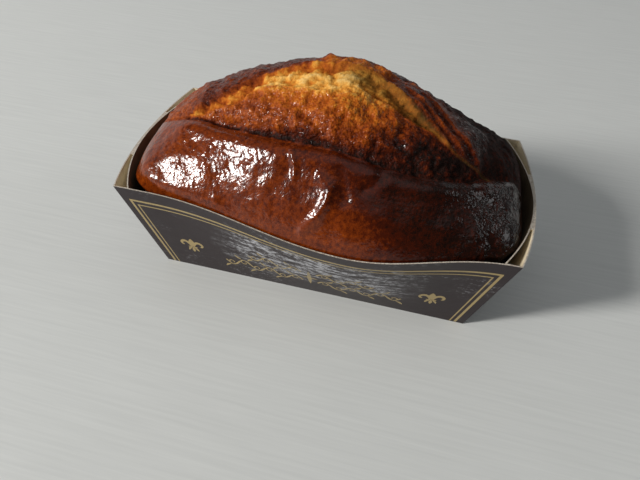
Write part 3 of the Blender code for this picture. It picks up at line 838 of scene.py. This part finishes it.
class Shading:
    """A node tree in the making, for a material or the room's light."""

    def __init__(self, owner, shader, place):
        owner.use_nodes = True
        self.tree = owner.node_tree
        self.shader = self.tree.nodes[shader]
        self.place = self.node("TexCoord", {}, {}, place)

    def node(self, kind, settings, sockets, output=0):
        made = self.tree.nodes.new("ShaderNode" + kind)
        for name, setting in settings.items():
            if name == "stops":
                set_stops(made.color_ramp, setting)
            else:
                setattr(made, name, setting)
        for name, number in sockets.items():
            self.feed(made.inputs[name], number)
        return Value(self, made.outputs[output])

    def feed(self, socket, number):
        if isinstance(number, Value):
            self.tree.links.new(number.socket, socket)
        else:
            socket.default_value = number

    def wear(self, **sockets):
        """Feeds the shader's sockets: base_color is the socket Base Color."""
        for name, number in sockets.items():
            self.feed(self.shader.inputs[name.replace("_", " ").title().replace("Ior", "IOR")], number)

    def axis(self, name):
        return self.node("SeparateXYZ", {}, {0: self.place}, name)

    def facing(self, direction):
        """1 towards that side of the room, and -1 away from it."""
        return self.node("VectorMath", {"operation": "DOT_PRODUCT"}, {0: self.place, 1: direction}, "Value")

    def attribute(self, name):
        return self.node("Attribute", {"attribute_name": name}, {}, "Fac")

    def noise(self, size, detail=2.0, stretch=(1, 1, 1), roughness=0.5, shift=0.0):
        """Noise about 0.5 with features of that size in millimetres."""
        scale = [1 / (MM * size * part) for part in stretch]
        spot = self.node("Mapping", {}, {"Vector": self.place, "Scale": scale, "Location": (shift,) * 3})
        sockets = {"Vector": spot, "Scale": 1.0, "Detail": detail, "Roughness": roughness}
        return self.node("TexNoise", {}, sockets)

    def cells(self, size):
        """0 in the middle of each cell of that size in millimetres, and up to 1 between them."""
        spot = self.node("Mapping", {}, {"Vector": self.place, "Scale": (1 / (MM * size),) * 3})
        return self.node("TexVoronoi", {"feature": "F1"}, {"Vector": spot, "Scale": 1.0}, "Distance")

    def mix(self, share, first, second):
        return self.node("Mix", {"data_type": "RGBA"}, {0: share, 6: colour(first), 7: colour(second)}, 2)

    def ramp(self, share, stops):
        return self.node("ValToRGB", {"stops": stops}, {0: share})

    def bump(self, height, strength=1.0):
        """A bump from a height in millimetres."""
        return self.node("Bump", {}, {"Height": height, "Distance": MM, "Strength": strength})


class Finish(Shading):
    def __init__(self, name):
        self.material = bpy.data.materials.new(name)
        super().__init__(self.material, "Principled BSDF", "Object")

    def cover(self, share, sockets):
        """Lays a second surface over the first by a share."""
        second = self.node("BsdfPrincipled", {}, sockets)
        mixed = self.node("MixShader", {}, {0: share, 1: Value(self, self.shader.outputs[0]), 2: second})
        self.feed(self.tree.nodes["Material Output"].inputs["Surface"], mixed)


def colour(value):
    return (*value, 1.0) if isinstance(value, tuple) else value


def set_stops(ramp, stops):
    ramp.interpolation = "LINEAR"
    while len(ramp.elements) > 1:
        ramp.elements.remove(ramp.elements[-1])
    for i, (position, tone) in enumerate(stops):
        element = ramp.elements[0] if i == 0 else ramp.elements.new(position)
        element.position = position
        element.color = colour(tone)


# Baked colour, from pale crumb to nearly black crust.
BAKED = (
    (0.00, (0.84, 0.52, 0.17)),
    (0.12, (0.77, 0.40, 0.085)),
    (0.26, (0.62, 0.25, 0.032)),
    (0.40, (0.47, 0.126, 0.010)),
    (0.54, (0.31, 0.062, 0.005)),
    (0.68, (0.170, 0.027, 0.002)),
    (0.82, (0.057, 0.0068, 0.0008)),
    (1.00, (0.010, 0.003, 0.0015)),
)
# Painted shade: the torn crumb at the right, dimmed to a greenish brown.
SHADED_OLIVE_CRUMB = (0.17, 0.10, 0.018)


def baked_crust():
    """Glossy crust, and over it a dry surface where the cake burst, wet in patches and matt in the tear."""
    finish = Finish("baked_crust")
    names = ("browning_and_shade", "matt", "blister", "rough", "crumb_shade")
    browning_and_shade, matt, blister, rough, crumb_shade = [finish.attribute(name) for name in names]
    blotch = finish.noise(16, 3) - 0.5
    speck = finish.noise(1.5, 3, roughness=0.6) - 0.5
    grain = finish.noise(0.55, 2) - 0.5
    # The level from the mesh carries painted shade as well as baking.
    level = browning_and_shade + blotch * 0.14 + speck * (0.20 + rough * 0.22 + matt * 0.12) + grain * 0.24
    tone = finish.ramp(level.clamped(), BAKED)
    # Painted shade: the torn crumb at the right turns a dim greenish brown.
    tone = finish.mix((crumb_shade * (0.55 + speck * 0.9)).clamped(), tone, SHADED_OLIVE_CRUMB)
    peel = finish.noise(1.3, 1)
    bubbles = finish.cells(1.1)
    crumbs = finish.noise(1.2, 4, roughness=0.75)
    skin = (1 - rough) * (1 - matt)
    patches = finish.noise(5, 2).above(0.42, 0.62)
    height = peel * skin * (0.14 + blister * patches * 0.6) + (1 - bubbles) * rough * 0.34
    height = height + crumbs * matt * 0.6 + grain * 0.02
    relief = finish.bump(height)
    gloss = (0.17 + (finish.noise(9, 2) - 0.5) * 0.16).clamped()
    finish.wear(base_color=tone, roughness=gloss, specular_ior_level=0.36, normal=relief)
    wet = finish.noise(2.0, 3, shift=5.0).above(0.50, 0.62)
    dry = (rough * (0.94 - wet * 0.75) + matt).clamped()
    dull = 0.42 + matt * 0.3
    finish.cover(dry, {"Base Color": tone, "Roughness": dull, "Specular IOR Level": 0.1, "Normal": relief})
    return finish.material


# The scuffed patch of the print, in metres: where it starts, is full, thins and ends.
SCUFFED_ALONG = (-0.050, -0.020, 0.030, 0.064)
SCUFFED_UP = (0.012, 0.026, 0.042, 0.050)


def scuffs_on(finish):
    """Whitish scuffs on the print: streaks along the middle of the panels, and faint clouds."""
    ragged = (finish.noise(11, 3, shift=9.0) - 0.5) * 0.03
    middle = (finish.axis("X") + ragged).within(*SCUFFED_ALONG)
    middle = middle * (finish.axis("Z") + ragged).within(*SCUFFED_UP)
    streaks = finish.noise(5.0, 6, stretch=(3.2, 1, 0.55), roughness=0.72)
    dust = finish.noise(1.6, 5, stretch=(1.6, 1, 1), roughness=0.75, shift=3.0)
    clouds = finish.noise(18, 3, stretch=(1.6, 1, 1), shift=7.0)
    heavy = middle * streaks.above(0.44, 0.58) * (0.25 + dust.above(0.44, 0.56) * 1.1)
    light = clouds.above(0.50, 0.66) * dust.above(0.52, 0.66) * 0.5
    return (heavy + light).clamped()


def printed_card():
    finish = Finish("printed_card")
    scuffs = scuffs_on(finish)
    mottle = finish.noise(2.4, 3)
    tone = finish.mix(mottle, (0.018, 0.011, 0.013), (0.030, 0.020, 0.022))
    tone = finish.mix(scuffs, tone, (0.44, 0.44, 0.46))
    finish.wear(
        base_color=tone,
        roughness=0.40 + scuffs * 0.3 + (mottle - 0.5) * 0.12,
        specular_ior_level=0.3,
        normal=finish.bump(finish.noise(0.7, 2) * 0.03 + finish.noise(9, 2) * 0.25, 0.6),
    )
    return finish.material


def gold_print():
    finish = Finish("gold_print")
    scuffs = scuffs_on(finish)
    rub = finish.noise(1.2, 4, roughness=0.7)
    tone = finish.mix(rub, (0.36, 0.26, 0.11), (0.50, 0.38, 0.17))
    tone = finish.mix((scuffs * 0.9).clamped(), tone, (0.24, 0.23, 0.20))
    finish.wear(base_color=tone, roughness=0.38 + scuffs * 0.3, metallic=0.25 - scuffs * 0.2)
    finish.wear(normal=finish.bump(rub * 0.02, 0.5))
    return finish.material


def pale_card():
    """The bare inside of the card, where the cake's fat hasn't reached it."""
    finish = Finish("pale_card")
    fibre = finish.noise(0.9, 4, stretch=(3, 1, 1), roughness=0.6)
    stain = finish.noise(14, 4, roughness=0.6)
    tone = finish.mix(stain.above(0.35, 0.75), (0.70, 0.60, 0.42), (0.46, 0.36, 0.22))
    tone = finish.mix(fibre * 0.4, tone, (0.78, 0.70, 0.54))
    finish.wear(base_color=tone, roughness=0.65 + fibre * 0.2, normal=finish.bump(fibre * 0.05, 0.7))
    return finish.material


def greasy_shaded_card():
    """The same card next to the cake, dark with fat and with painted shade from the narrow gap, and paler
    in a band along the rim.
    """
    finish = Finish("greasy_shaded_card")
    stain = finish.noise(9, 4, roughness=0.65)
    fibre = finish.noise(0.9, 4, stretch=(3, 1, 1), roughness=0.6)
    # Painted shade and fat stains darken the card low down; it is paler towards the rim.
    pale = (finish.axis("Z").above(0.050, 0.062) * 0.7 + (stain - 0.5) * 0.9).clamped()
    tone = finish.mix(pale, (0.045, 0.028, 0.016), (0.22, 0.16, 0.095))
    tone = finish.mix(fibre * 0.15, tone, (0.36, 0.28, 0.18))
    finish.wear(base_color=tone, roughness=0.42 + pale * 0.25, normal=finish.bump(fibre * 0.05, 0.7))
    return finish.material


def cut_edge():
    finish = Finish("cut_edge")
    fibre = finish.noise(0.6, 4, roughness=0.7)
    tone = finish.mix(fibre.above(0.35, 0.7), (0.30, 0.24, 0.19), (0.74, 0.68, 0.58))
    finish.wear(base_color=tone, roughness=0.7 + fibre * 0.1, normal=finish.bump(fibre * 0.06, 0.7))
    return finish.material


def table_top():
    finish = Finish("pale_table")
    lines = finish.noise(1.6, 3, stretch=(30, 1, 1))
    tone = finish.mix(lines, (0.56, 0.57, 0.555), (0.68, 0.69, 0.67))
    finish.wear(base_color=tone, roughness=0.55, normal=finish.bump(lines * 0.02, 0.5))
    return finish.material


# The camera, lights and floor


# The camera looks at AIM: its turn round the cake, its rise over the table and its roll, in radians.
TURN, RISE, CAMERA_ROLL = 0.225298, 0.828996, 0.033707
DISTANCE, AIM, LENS = 298.27, (-3.304, -0.747, 0.0), 28.125
WINDOW_SIDE = (-0.76, -0.46, 0.48)  # towards the window, at the left and a little in front
WINDOW_AWAY, WINDOW_WIDTH, WINDOW_HEIGHT, WINDOW_POWER = 3.0, 0.40, 0.80, 100.0  # metres and watts
WINDOW_TINT, WINDOW_AIM = (1.0, 0.98, 0.95), (0, 0, 0.05)
RIGHT_SIDE = (0.88, 0.19, 0.43)  # towards a large dim patch of light
WALL_SIDE = (-0.77, 0.64, 0.0)  # towards the pale walls, at the left and behind
ROOM_LIGHT, CEILING_LIGHT, RIGHT_LIGHT, WALL_LIGHT = 0.055, 0.36, 2.2, 0.6


def set_camera():
    """The camera looks down at the cake from the front, a little from its right."""
    data = bpy.data.cameras.new("camera")
    data.lens, data.sensor_width, data.clip_start, data.clip_end = LENS, 36.0, 0.01, 50.0
    camera = bpy.data.objects.new("camera", data)
    back = Vector((math.sin(TURN) * math.cos(RISE), -math.cos(TURN) * math.cos(RISE), math.sin(RISE)))
    level = Vector((math.cos(TURN), math.sin(TURN), 0))
    upward = back.cross(level)
    right = math.cos(CAMERA_ROLL) * level + math.sin(CAMERA_ROLL) * upward
    top = back.cross(right)
    place = (Vector(AIM) + back * DISTANCE) * MM
    camera.matrix_world = Matrix((right, top, back)).transposed().to_4x4()
    camera.matrix_world.translation = place
    bpy.context.scene.collection.objects.link(camera)
    bpy.context.scene.camera = camera


def add_window():
    """A soft rectangular light that looks at the middle of the cake."""
    data = bpy.data.lights.new("window", "AREA")
    data.shape, data.size, data.size_y = "RECTANGLE", WINDOW_WIDTH, WINDOW_HEIGHT
    data.energy, data.color = WINDOW_POWER, WINDOW_TINT
    light = bpy.data.objects.new("window", data)
    towards = Vector(WINDOW_SIDE).normalized()
    light.location = Vector(WINDOW_AIM) + towards * WINDOW_AWAY
    light.rotation_euler = towards.to_track_quat("Z", "Y").to_euler()
    bpy.context.scene.collection.objects.link(light)


def set_stage():
    """The light of a room with one window, and the pale table."""
    world = bpy.data.worlds.new("soft_room")
    bpy.context.scene.world = world
    room = Shading(world, "Background", "Generated")
    up = room.axis("Z")
    walls = up.above(0.62, 0.35) * room.facing(WALL_SIDE).above(-0.5, 0.6) * WALL_LIGHT
    ceiling = up.above(0.65, 0.95) * CEILING_LIGHT
    patch = room.facing(RIGHT_SIDE).above(0.968, 0.99) * RIGHT_LIGHT
    room.wear(color=(0.95, 0.98, 1.0, 1.0), strength=ceiling + patch + walls + ROOM_LIGHT)
    add_window()
    bpy.ops.mesh.primitive_grid_add(x_subdivisions=8, y_subdivisions=8, size=8, location=(0, 0, 0))
    floor = bpy.context.object
    floor.name = "floor"
    floor.data.materials.append(table_top())
    bpy.context.scene.view_settings.view_transform = "Standard"


def main():
    set_camera()
    set_stage()
    cake = make_cake(baked_crust())
    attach(cake, "root")
    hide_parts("cake")
    tray = make_tray([printed_card(), greasy_shaded_card(), cut_edge(), pale_card()])
    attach(tray, "root")
    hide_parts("tray")
    for thing in make_print(gold_print()):
        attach(thing, "root")


main()
